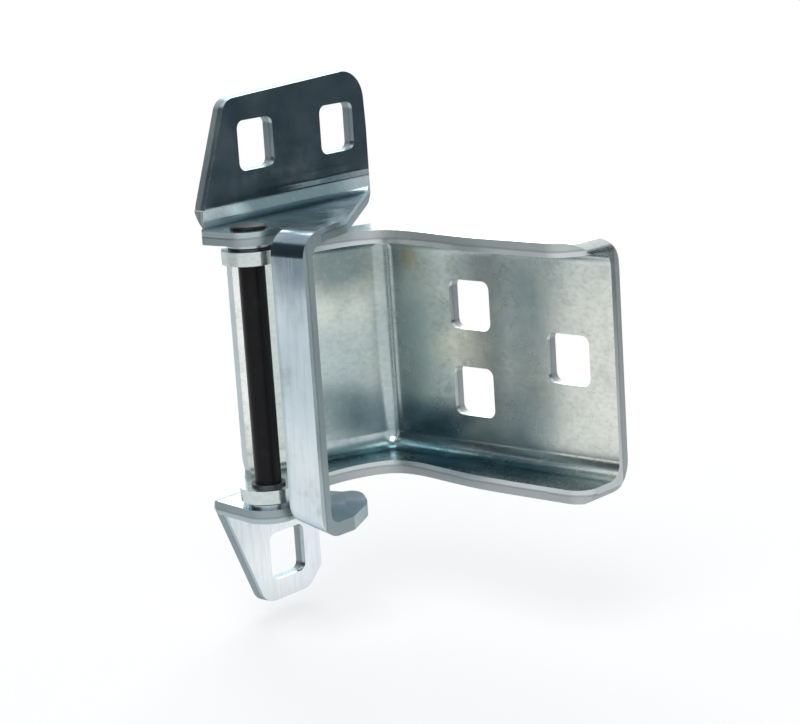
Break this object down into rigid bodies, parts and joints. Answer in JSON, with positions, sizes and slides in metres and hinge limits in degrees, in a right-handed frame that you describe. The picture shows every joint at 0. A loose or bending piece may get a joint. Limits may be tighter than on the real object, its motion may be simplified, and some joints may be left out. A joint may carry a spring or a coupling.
{
  "type": "car door hinge",
  "caption": "Pressed steel car door hinge: a pillar bracket with a front strap and a cranked channel arm that swing about one pin.",
  "frame": {"origin": "on the pin axis, half way up the arm's knuckle", "axes": "+Z along the pin, upwards; +X squarely off the pillar face towards the viewer's side; +Y along the pillar face from the pin towards the door"},
  "size_m": [0.1111, 0.0839, 0.1579],
  "materials": {
    "bracket_zinc": "clear zinc plated pressing, satin with tool marks",
    "arm_zinc": "clear zinc plated pressing with faint yellow stains",
    "pin_black": "black satin hardened steel",
    "bushing_dark": "dark dry bearing bushing",
    "washer_zinc": "bright zinc plated washer"
  },
  "bodies": {
    "pillar": {"pillar_bracket": "bracket_zinc", "hinge_pin": "pin_black", "upper_washer": "washer_zinc", "lower_washer": "washer_zinc"},
    "door": {"door_arm": "arm_zinc", "upper_bushing": "bushing_dark", "lower_bushing": "bushing_dark"}
  },
  "joints": [
    {"name": "door_swing", "type": "hinge", "parent": "pillar", "child": "door", "pos_m": [0, 0, 0], "axis": [0, 0, 1], "range_deg": [-45, 23]}
  ]
}
